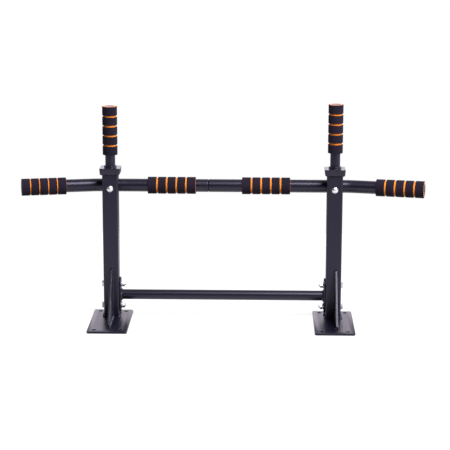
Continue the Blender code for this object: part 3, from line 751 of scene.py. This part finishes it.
class BAR_OT_weld_beads(bpy.types.Operator):
    """Make the weld beads at the arms' feet, the gussets and the cross bar's ends"""
    bl_idname = "bar.weld_beads"
    bl_label = "Weld beads"

    def execute(self, context):
        settings = context.scene.bar_frame
        radius, ripple = settings.bead, settings.bead_ripple
        # The beads up the gussets and round the cross bar are thinner
        thin = radius * 0.8
        half, foot = ARM_SIDE / 2, PLATE_TOP
        turns = full_turn(RING_STEPS)
        for side, sign in SIDES.items():
            x = ARM_X[side]
            low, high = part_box("gusset_" + side)
            around = rectangle((x - half, ARM_Y - half), (x + half, ARM_Y + half), settings.arm_corner)
            shells = [bead(at_height(around, foot), radius, ripple, closed=True)]
            for face in (low.x, high.x):
                shells.append(bead([(face, high.y, foot), (face, low.y - radius / 2, foot)], radius, ripple))
                shells.append(bead([(face, high.y, foot), (face, high.y, high.z)], thin, ripple))
            make_piece("arm_foot_weld_" + side, shells, weld_paint)
            ring = np.column_stack((np.full(RING_STEPS, sign * CROSS_END),
                                    ARM_Y + CROSS_RADIUS * np.cos(turns),
                                    CROSS_HEIGHT + CROSS_RADIUS * np.sin(turns)))
            make_piece("cross_bar_weld_" + side, [bead(ring, thin, ripple, closed=True)], weld_paint)
        return {"FINISHED"}


def cap_loops(x, foot, head, settings):
    """An arm cap's surface from its foot, out over the slope and up the square skirt, over the rounded edge,
    in to the round collar, over its lip, down its bore, and back to the foot inside the skirt."""
    edge = settings.cap_edge
    top = head - settings.collar_height
    lip = foot + settings.cap_chamfer
    under = top - settings.cap_wall
    mouth = ARM_SIDE + 2 * settings.cap_wall
    skirt = CAP_TOP_WIDTH - settings.cap_taper
    inner = ARM_SIDE + 2 * CLEARANCE
    bore = GRIP_RADIUS + CLEARANCE
    collar = bore + settings.collar_wall
    # A loop just above the slope keeps its edge crisp
    crisp_out, crisp_up = 0.1 * MM, 0.4 * MM
    # Each rounded edge is a quarter circle, and a loop just outside it keeps the flat beside it flat
    hold = 1.2 * edge
    quarter = [(edge * (1 - cos(turn)), edge * (1 - sin(turn)))
               for turn in np.linspace(0, pi / 2, CORNER_STEPS)]
    outside = [(mouth, foot), (skirt, lip), (skirt + crisp_out, lip + crisp_up), (CAP_TOP_WIDTH, top - hold)]
    outside += [(CAP_TOP_WIDTH - 2 * inwards, top - down) for inwards, down in quarter]
    outside += [(CAP_TOP_WIDTH - 2 * hold, top)]
    rounds = [(collar + hold, top)]
    rounds += [(collar + out, top + up) for up, out in quarter]
    rounds += [(collar - inwards, head - down) for inwards, down in quarter]
    rounds += [(bore, head), (bore, under)]
    inside = [(inner, under), (inner, foot)]
    loops = [square_loop(width, settings.cap_corner, (x, ARM_Y, z)) for width, z in outside]
    loops += [round_loop(radius, (x, ARM_Y, z)) for radius, z in rounds]
    loops += [square_loop(width, settings.cap_corner, (x, ARM_Y, z)) for width, z in inside]
    return grid(np.array(loops), close_rows=True)


class BAR_OT_arm_caps(bpy.types.Operator):
    """Make the moulded caps with their collars on the arms' ends"""
    bl_idname = "bar.arm_caps"
    bl_label = "Arm caps"

    def execute(self, context):
        for side, x in ARM_X.items():
            node = "arm_end_cap_" + side
            low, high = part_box(node)
            cap = cap_loops(x, low.z, high.z, context.scene.bar_grips)
            make_piece("arm_cap_moulding_" + side, [cap], plastic, node)
        return {"FINISHED"}


class BAR_OT_round_tubes(bpy.types.Operator):
    """Make the parallel grip tubes and the cross bar"""
    bl_idname = "bar.round_tubes"
    bl_label = "Round tubes"

    def execute(self, context):
        wall = context.scene.bar_frame.tube_wall
        for side, x in ARM_X.items():
            node = "parallel_grip_tube_" + side
            low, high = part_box(node)
            profile = sleeve_profile(low.z, high.z, GRIP_RADIUS - wall, GRIP_RADIUS, TUBE_EDGE)
            make_piece("grip_tube_steel_" + side, [revolve(profile, (x, ARM_Y, 0), (0, 0, 1))], paint, node)
        profile = sleeve_profile(-CROSS_END, CROSS_END, CROSS_RADIUS - wall, CROSS_RADIUS, TUBE_EDGE)
        cross_bar = revolve(profile, (0, ARM_Y, CROSS_HEIGHT), (1, 0, 0))
        make_piece("cross_bar_steel", [cross_bar], paint, "cross_bar")
        return {"FINISHED"}


class BAR_OT_main_bar(bpy.types.Operator):
    """Make the two bent tubes of the main bar"""
    bl_idname = "bar.main_bar"
    bl_label = "Main bar"

    def execute(self, context):
        settings = context.scene.bar_frame
        gap = CLEARANCE / 2
        inner = BAR_RADIUS - settings.tube_wall
        seam_edge, end_edge = settings.seam_edge, settings.edge
        upright = np.array(((0, 0, 1),))
        for side in SIDES:
            tip_x = BAR_REACH[side] - BAR_RADIUS * sin(settings.bend_angle)
            end = distance_at(side, tip_x)
            profile = rounded([(gap, BAR_RADIUS, seam_edge), (end, BAR_RADIUS, end_edge),
                               (end, inner, end_edge / 2), (gap, inner, end_edge / 2)])
            # Rows through the bend go between the profile's corners, outside and inside
            first = bend_start(side)
            bend = np.linspace(first, first + settings.bend_radius * settings.bend_angle, BEND_STEPS)
            outer_rows = np.column_stack((bend, np.full(BEND_STEPS, BAR_RADIUS)))
            inner_rows = np.column_stack((bend[::-1], np.full(BEND_STEPS, inner)))
            corner = len(profile) // 4
            profile = np.vstack((profile[:corner], outer_rows, profile[corner:3 * corner], inner_rows,
                                 profile[3 * corner:]))
            places, headings = bend_path(side, profile[:, 0])
            level = np.stack((-headings[:, 1], headings[:, 0], 0 * headings[:, 0]), axis=-1)
            tube = carry(places, all_round(profile[:, 1], ROUND_STEPS), level, upright, True)
            make_piece("main_bar_steel_" + side, [tube], paint, "main_bar_" + side)
        return {"FINISHED"}


def foam_pieces(name, node, start, axis, length, outer, inner, groove, settings):
    """One foam grip: a black outer layer cut into bands with rounded edges, over an orange core that shows
    in the grooves and at the ends."""
    pitch = length / (settings.grooves + 1)
    half = groove / 2
    floor = outer - settings.groove_depth
    reach, edge = settings.core_reach, settings.band_edge
    shells = []
    for band in range(settings.grooves + 1):
        low = band * pitch + half if band else reach
        high = (band + 1) * pitch - half if band < settings.grooves else length - reach
        profile = rounded([(low, outer, edge), (high, outer, edge), (high, floor, 0), (low, floor, 0)])
        shells.append(revolve(profile, start, axis))
    layer = make_piece(name + "_foam", shells, foam, node)
    core_profile = sleeve_profile(0, length, inner, floor + CLEARANCE, reach)
    core = make_piece(name + "_core", [revolve(core_profile, start, axis)], core_foam, node)


class BAR_OT_foam_grips(bpy.types.Operator):
    """Make the six foam grips"""
    bl_idname = "bar.foam_grips"
    bl_label = "Foam grips"

    def execute(self, context):
        settings = context.scene.bar_grips
        angle = context.scene.bar_frame.bend_angle
        groove = settings.groove_width
        on_bar, on_grip = BAR_RADIUS + CLEARANCE, GRIP_RADIUS + CLEARANCE
        for side, sign in SIDES.items():
            node = "centre_foam_grip_" + side
            low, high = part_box(node)
            foam_pieces("centre_grip_" + side, node, (low.x, BAR_Y, BAR_HEIGHT), (1, 0, 0), high.x - low.x,
                        (high.z - low.z) / 2, on_bar, groove, settings)
            node = "parallel_foam_grip_" + side
            low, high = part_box(node)
            foam_pieces("parallel_grip_" + side, node, (ARM_X[side], ARM_Y, low.z), (0, 0, 1), high.z - low.z,
                        (high.x - low.x) / 2, on_grip, groove, settings)
            node = "outer_foam_grip_" + side
            low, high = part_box(node)
            radius = (high.z - low.z) / 2
            length = ((high.x - low.x) - 2 * radius * sin(angle)) / cos(angle)
            tip_x = max(abs(low.x), abs(high.x)) - radius * sin(angle)
            tip, heading = bend_path(side, distance_at(side, tip_x))
            foam_pieces("outer_grip_" + side, node, tip, -heading, length, radius, on_bar,
                        settings.narrow_groove if sign < 0 else groove, settings)
        return {"FINISHED"}


def plug(end, outward, radius, wall):
    """A plug from its profile: a stub that fits in the tube, and a head with a rounded rim and a shallow
    dish."""
    stub = radius - wall - CLEARANCE
    edge = 0.7 * MM
    rim_foot = radius - 0.1 * MM
    dish_floor = PLUG_HEAD - 0.5 * MM
    dish_lip, dish_foot, dish_middle = radius * 0.86, radius * 0.80, radius * 0.2
    profile = [(-PLUG_DEPTH, 0), (-PLUG_DEPTH, stub - edge), (-PLUG_DEPTH + 2 * edge, stub), (0, stub),
               (0, rim_foot)]
    profile += [(PLUG_HEAD - edge + edge * sin(turn), radius - edge * (1 - cos(turn)))
                for turn in np.linspace(0, pi / 2, CORNER_STEPS)]
    profile += [(PLUG_HEAD, dish_lip), (dish_floor, dish_foot), (dish_floor, dish_middle), (dish_floor, 0)]
    return revolve(np.array(profile), end, outward, ring=False)


class BAR_OT_plugs(bpy.types.Operator):
    """Make the plugs in the open ends of the tubes"""
    bl_idname = "bar.plugs"
    bl_label = "Plugs"

    def execute(self, context):
        settings = context.scene.bar_frame
        wall, angle = settings.tube_wall, settings.bend_angle
        # The bar's outermost point is on the plug's rounded rim, this much inside its radius
        rim_inset = 0.4 * MM
        for side in SIDES:
            node = "grip_tube_plug_" + side
            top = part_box(node)[1].z - PLUG_HEAD
            grip_plug = plug((ARM_X[side], ARM_Y, top), (0, 0, 1), GRIP_RADIUS, wall)
            make_piece("grip_tube_plug_moulding_" + side, [grip_plug], plastic, node)
            node = "main_bar_plug_" + side
            low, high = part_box(node)
            tip_x = max(abs(low.x), abs(high.x)) - (BAR_RADIUS - rim_inset) * sin(angle)
            tip, heading = bend_path(side, distance_at(side, tip_x) - PLUG_HEAD)
            bar_plug = plug(tip, heading, BAR_RADIUS, wall)
            make_piece("main_bar_plug_moulding_" + side, [bar_plug], plastic, node)
        return {"FINISHED"}


class BAR_OT_flanges(bpy.types.Operator):
    """Make the flanges at the cross bar's ends"""
    bl_idname = "bar.flanges"
    bl_label = "Flanges"

    def execute(self, context):
        bore = context.scene.bar_fasteners.shank / 2 + CLEARANCE
        before, drilled = 5 * MM, 15 * MM
        for side in SIDES:
            node = "cross_bar_flange_" + side
            low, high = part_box(node)
            # Just under half the width, so that an end's two arcs don't share a point
            corner = (high.y - low.y) / 2 * 0.999
            outline = rectangle((low.y, low.z), (high.y, high.z), corner, END_STEPS)
            shells = slab(outline, high.x - low.x, (low.x, 0, 0), (0, 1, 0), (0, 0, 1))
            flange = make_piece("cross_bar_flange_steel_" + side, shells, paint, node)
            heights = [middle("cross_bar_nut_%s_%s" % (side, place)).z for place in ("lower", "upper")]
            drill(flange, [((low.x - before, ARM_Y, z), (1, 0, 0), drilled, bore) for z in heights])
            soften(flange, context.scene.bar_frame.edge)
        return {"FINISHED"}


class BAR_OT_bolts(bpy.types.Operator):
    """Make the domed bolts with their saddle washers and nuts, and the cross bar's bolts, washers and nuts"""
    bl_idname = "bar.bolts"
    bl_label = "Bolts"

    def execute(self, context):
        settings = context.scene.bar_fasteners
        for side in SIDES:
            self.main_bar_bolt(side, settings)
            for place in ("lower", "upper"):
                self.cross_bar_bolt(side, "%s_%s" % (side, place), settings)
        return {"FINISHED"}

    def main_bar_bolt(self, side, settings):
        """A domed bolt from the arm's front through the main bar, with its nut and saddle washer behind."""
        bore = settings.shank / 2 + CLEARANCE
        node = "main_bar_bolt_" + side
        low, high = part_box(node)
        under = low.y + settings.dome
        head = domed_head((ARM_X[side], low.y, BAR_HEIGHT), (high.x - low.x) / 2, settings.dome)
        rod = threaded_rod((ARM_X[side], under, BAR_HEIGHT), (0, 1, 0), high.y - under - THREAD, settings)
        make_piece("domed_bolt_" + side, [head, rod], zinc, node)
        node = "main_bar_nut_" + side
        low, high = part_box(node)
        nut = hexagon_nut((ARM_X[side], low.y, BAR_HEIGHT), (0, 1, 0), high.y - low.y, settings.flats, bore)
        make_piece("main_bar_nut_zinc_" + side, [nut], zinc, node)
        node = "main_bar_saddle_washer_" + side
        washer = saddle_washer(node, bore, settings.saddle_corner)
        make_piece("saddle_washer_zinc_" + side, [washer], zinc, node)

    def cross_bar_bolt(self, side, tag, settings):
        """A hexagon bolt from the arm's outer side through the flange, with its nut and washer inside."""
        sign = SIDES[side]
        bore = settings.shank / 2 + CLEARANCE
        node = "cross_bar_bolt_" + tag
        low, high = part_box(node)
        z = middle(node).z
        outer = max(abs(low.x), abs(high.x)) - settings.head
        inner = min(abs(low.x), abs(high.x))
        under = (sign * outer, ARM_Y, z)
        head = hexagon_head(under, (sign, 0, 0), settings.head, settings.flats, settings.head_turn)
        rod = threaded_rod(under, (-sign, 0, 0), outer - inner - THREAD, settings)
        make_piece("cross_bolt_" + tag, [head, rod], zinc, node)
        node = "cross_bar_nut_" + tag
        low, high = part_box(node)
        seat = high.x if sign > 0 else low.x
        nut = hexagon_nut((seat, ARM_Y, z), (-sign, 0, 0), high.x - low.x, settings.flats, bore)
        make_piece("cross_nut_" + tag, [nut], zinc, node)
        node = "cross_bar_washer_" + tag
        low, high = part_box(node)
        profile = sleeve_profile(low.x, high.x, bore, (high.z - low.z) / 2, WASHER_EDGE)
        washer = revolve(profile, (0, ARM_Y, z), (1, 0, 0))
        make_piece("cross_washer_" + tag, [washer], zinc, node)


class BAR_OT_inner_pieces(bpy.types.Operator):
    """Give the pieces inside the tubes their finish"""
    bl_idname = "bar.inner_pieces"
    bl_label = "Inner pieces"

    def execute(self, context):
        inner = {"main_bar_joining_sleeve": paint, "grip_tube_guide_left": plastic,
                 "grip_tube_guide_right": plastic}
        for node, finish in inner.items():
            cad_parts[node].data.materials.clear()
            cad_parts[node].data.materials.append(finish())
        return {"FINISHED"}


class BAR_OT_stage(bpy.types.Operator):
    """Make the floor, the light and the camera"""
    bl_idname = "bar.stage"
    bl_label = "Stage"

    def execute(self, context):
        scene = context.scene
        settings = scene.bar_stage
        scene.view_settings.view_transform = "Standard"
        self.make_floor(scene)
        self.make_world(scene, settings)
        self.make_lamp(scene, settings)
        self.make_camera(scene, settings)
        return {"FINISHED"}

    def make_floor(self, scene):
        """A level sheet of paper, 2 m before the object and 1 m behind it: white to the camera and in
        reflections, apart from the object's soft shadow."""
        left, right, front, back = -3.0, 3.0, -1.9, 1.0
        below = -0.5 * MM
        grey, glow_strength = (0.3, 0.3, 0.3, 1), 0.8
        mesh = bpy.data.meshes.new("floor")
        mesh.from_pydata([(left, front, below), (right, front, below), (right, back, below),
                          (left, back, below)], [], [(0, 1, 2, 3)])
        floor = bpy.data.objects.new("floor", mesh)
        scene.collection.objects.link(floor)
        material, tree, output = new_material("White studio paper")
        mesh.materials.append(material)
        rays = add_node(tree, "ShaderNodeLightPath")
        seen = add_node(tree, "ShaderNodeMath", {"operation": "MAXIMUM"},
                        {0: rays.outputs["Is Camera Ray"], 1: rays.outputs["Is Glossy Ray"]})
        seen = add_node(tree, "ShaderNodeMath", {"operation": "MAXIMUM"},
                        {0: seen.outputs[0], 1: rays.outputs["Is Transmission Ray"]})
        glow = add_node(tree, "ShaderNodeEmission", {"Color": (1, 1, 1, 1), "Strength": glow_strength})
        matt = add_node(tree, "ShaderNodeBsdfDiffuse", {"Color": grey})
        shown = add_node(tree, "ShaderNodeAddShader", None, {0: glow.outputs[0], 1: matt.outputs[0]})
        mixed = add_node(tree, "ShaderNodeMixShader", None,
                         {0: seen.outputs[0], 1: matt.outputs[0], 2: shown.outputs[0]})
        tree.links.new(mixed.outputs[0], output.inputs["Surface"])

    def make_world(self, scene, settings):
        """White to the camera. As light it is dim in front, left of the camera, and grows round to the back
        and the right; overhead it grows from front to back, and below the floor's level it is almost dark."""
        world = bpy.data.worlds.new("Studio")
        scene.world = world
        world.use_nodes = True
        tree = world.node_tree
        tree.nodes.clear()
        output = tree.nodes.new("ShaderNodeOutputWorld")
        rays = add_node(tree, "ShaderNodeLightPath")
        place = add_node(tree, "ShaderNodeTexCoord").outputs["Generated"]
        parts = add_node(tree, "ShaderNodeSeparateXYZ", None, {"Vector": place})
        dim_side, cool_white = (-0.6, -0.8, 0.0), (0.96, 0.89, 1.0, 1)
        facing = add_node(tree, "ShaderNodeVectorMath", {"operation": "DOT_PRODUCT", 1: dim_side}, {0: place})
        around = add_node(tree, "ShaderNodeMapRange",
                          {"From Min": 0.85, "From Max": -0.85, "To Min": 0.05, "To Max": 2.3},
                          {"Value": facing.outputs["Value"]})
        overhead = add_node(tree, "ShaderNodeMapRange",
                            {"From Min": -0.2, "From Max": 0.8, "To Min": 0.05, "To Max": 0.95},
                            {"Value": parts.outputs["Y"]})
        strength = add_node(tree, "ShaderNodeMapRange",
                            {"interpolation_type": "SMOOTHSTEP", "From Min": 0.15, "From Max": 0.6},
                            {"Value": parts.outputs["Z"], "To Min": around.outputs[0],
                             "To Max": overhead.outputs[0]})
        share = add_node(tree, "ShaderNodeMapRange",
                         {"From Min": -0.1, "From Max": 0.0, "To Min": 0.15 * settings.surround,
                          "To Max": settings.surround}, {"Value": parts.outputs["Z"]})
        level = add_node(tree, "ShaderNodeMath", {"operation": "MULTIPLY"},
                         {0: strength.outputs[0], 1: share.outputs[0]})
        light = add_node(tree, "ShaderNodeBackground", {"Color": cool_white}, {"Strength": level.outputs[0]})
        white = add_node(tree, "ShaderNodeBackground", {"Color": (1, 1, 1, 1), "Strength": 1.0})
        mixed = add_node(tree, "ShaderNodeMixShader", None,
                         {0: rays.outputs["Is Camera Ray"], 1: light.outputs[0], 2: white.outputs[0]})
        tree.links.new(mixed.outputs[0], output.inputs["Surface"])

    def make_lamp(self, scene, settings):
        """One soft box, high in front of the object and to its right."""
        place = Vector((1.47, -2.0, 3.45))
        target = Vector((0.0, 0.0, 0.3))
        lamp = bpy.data.lights.new("soft_box", "AREA")
        lamp.shape = "RECTANGLE"
        lamp.size = 1.9
        lamp.size_y = 1.8
        lamp.energy = settings.key
        box = bpy.data.objects.new("soft_box", lamp)
        box.location = place
        box.rotation_euler = (target - place).to_track_quat("-Z", "Y").to_euler()
        scene.collection.objects.link(box)

    def make_camera(self, scene, settings):
        """The photograph's camera: its heading from yaw and pitch, then rolled about it."""
        forward = Vector((-sin(settings.yaw) * cos(settings.pitch), cos(settings.yaw) * cos(settings.pitch),
                          -sin(settings.pitch)))
        right = Vector((cos(settings.yaw), sin(settings.yaw), 0.0))
        up = right.cross(forward)
        rolled_right = right * cos(settings.roll) + up * sin(settings.roll)
        rolled_up = up * cos(settings.roll) - right * sin(settings.roll)
        lens = bpy.data.cameras.new("photo_camera")
        lens.lens = settings.lens
        lens.sensor_width = 36.0
        lens.clip_end = 50.0
        camera = bpy.data.objects.new("photo_camera", lens)
        turn = Matrix((rolled_right, rolled_up, -forward)).transposed().to_4x4()
        camera.matrix_world = Matrix.Translation(settings.place) @ turn
        scene.collection.objects.link(camera)
        scene.camera = camera


PIECES = (BAR_OT_wall_plates, BAR_OT_arms, BAR_OT_gussets, BAR_OT_weld_beads, BAR_OT_arm_caps,
          BAR_OT_round_tubes, BAR_OT_main_bar, BAR_OT_foam_grips, BAR_OT_plugs, BAR_OT_flanges, BAR_OT_bolts,
          BAR_OT_inner_pieces, BAR_OT_stage)
SETTINGS = {"bar_finish": FinishSettings, "bar_frame": FrameSettings, "bar_grips": GripSettings,
            "bar_fasteners": FastenerSettings, "bar_stage": StageSettings}


class BAR_PT_pieces(bpy.types.Panel):
    """Lists the pieces and the settings"""
    bl_label = "Pull-up Bar"
    bl_idname = "BAR_PT_pieces"
    bl_space_type = "VIEW_3D"
    bl_region_type = "UI"
    bl_category = "Pull-up Bar"

    def draw(self, context):
        for group, kind in SETTINGS.items():
            box = self.layout.box()
            for name in kind.__annotations__:
                box.prop(getattr(context.scene, group), name)
        for piece in PIECES:
            self.layout.operator(piece.bl_idname)


def register():
    for kind in (*SETTINGS.values(), *PIECES, BAR_PT_pieces):
        bpy.utils.register_class(kind)
    for name, kind in SETTINGS.items():
        setattr(bpy.types.Scene, name, PointerProperty(type=kind))


def unregister():
    for name in SETTINGS:
        delattr(bpy.types.Scene, name)
    for kind in (BAR_PT_pieces, *reversed(PIECES), *reversed(list(SETTINGS.values()))):
        bpy.utils.unregister_class(kind)


def main():
    """Make every piece."""
    register()
    for piece in PIECES:
        group, name = piece.bl_idname.split(".")
        getattr(getattr(bpy.ops, group), name)()


if __name__ == "__main__":
    main()
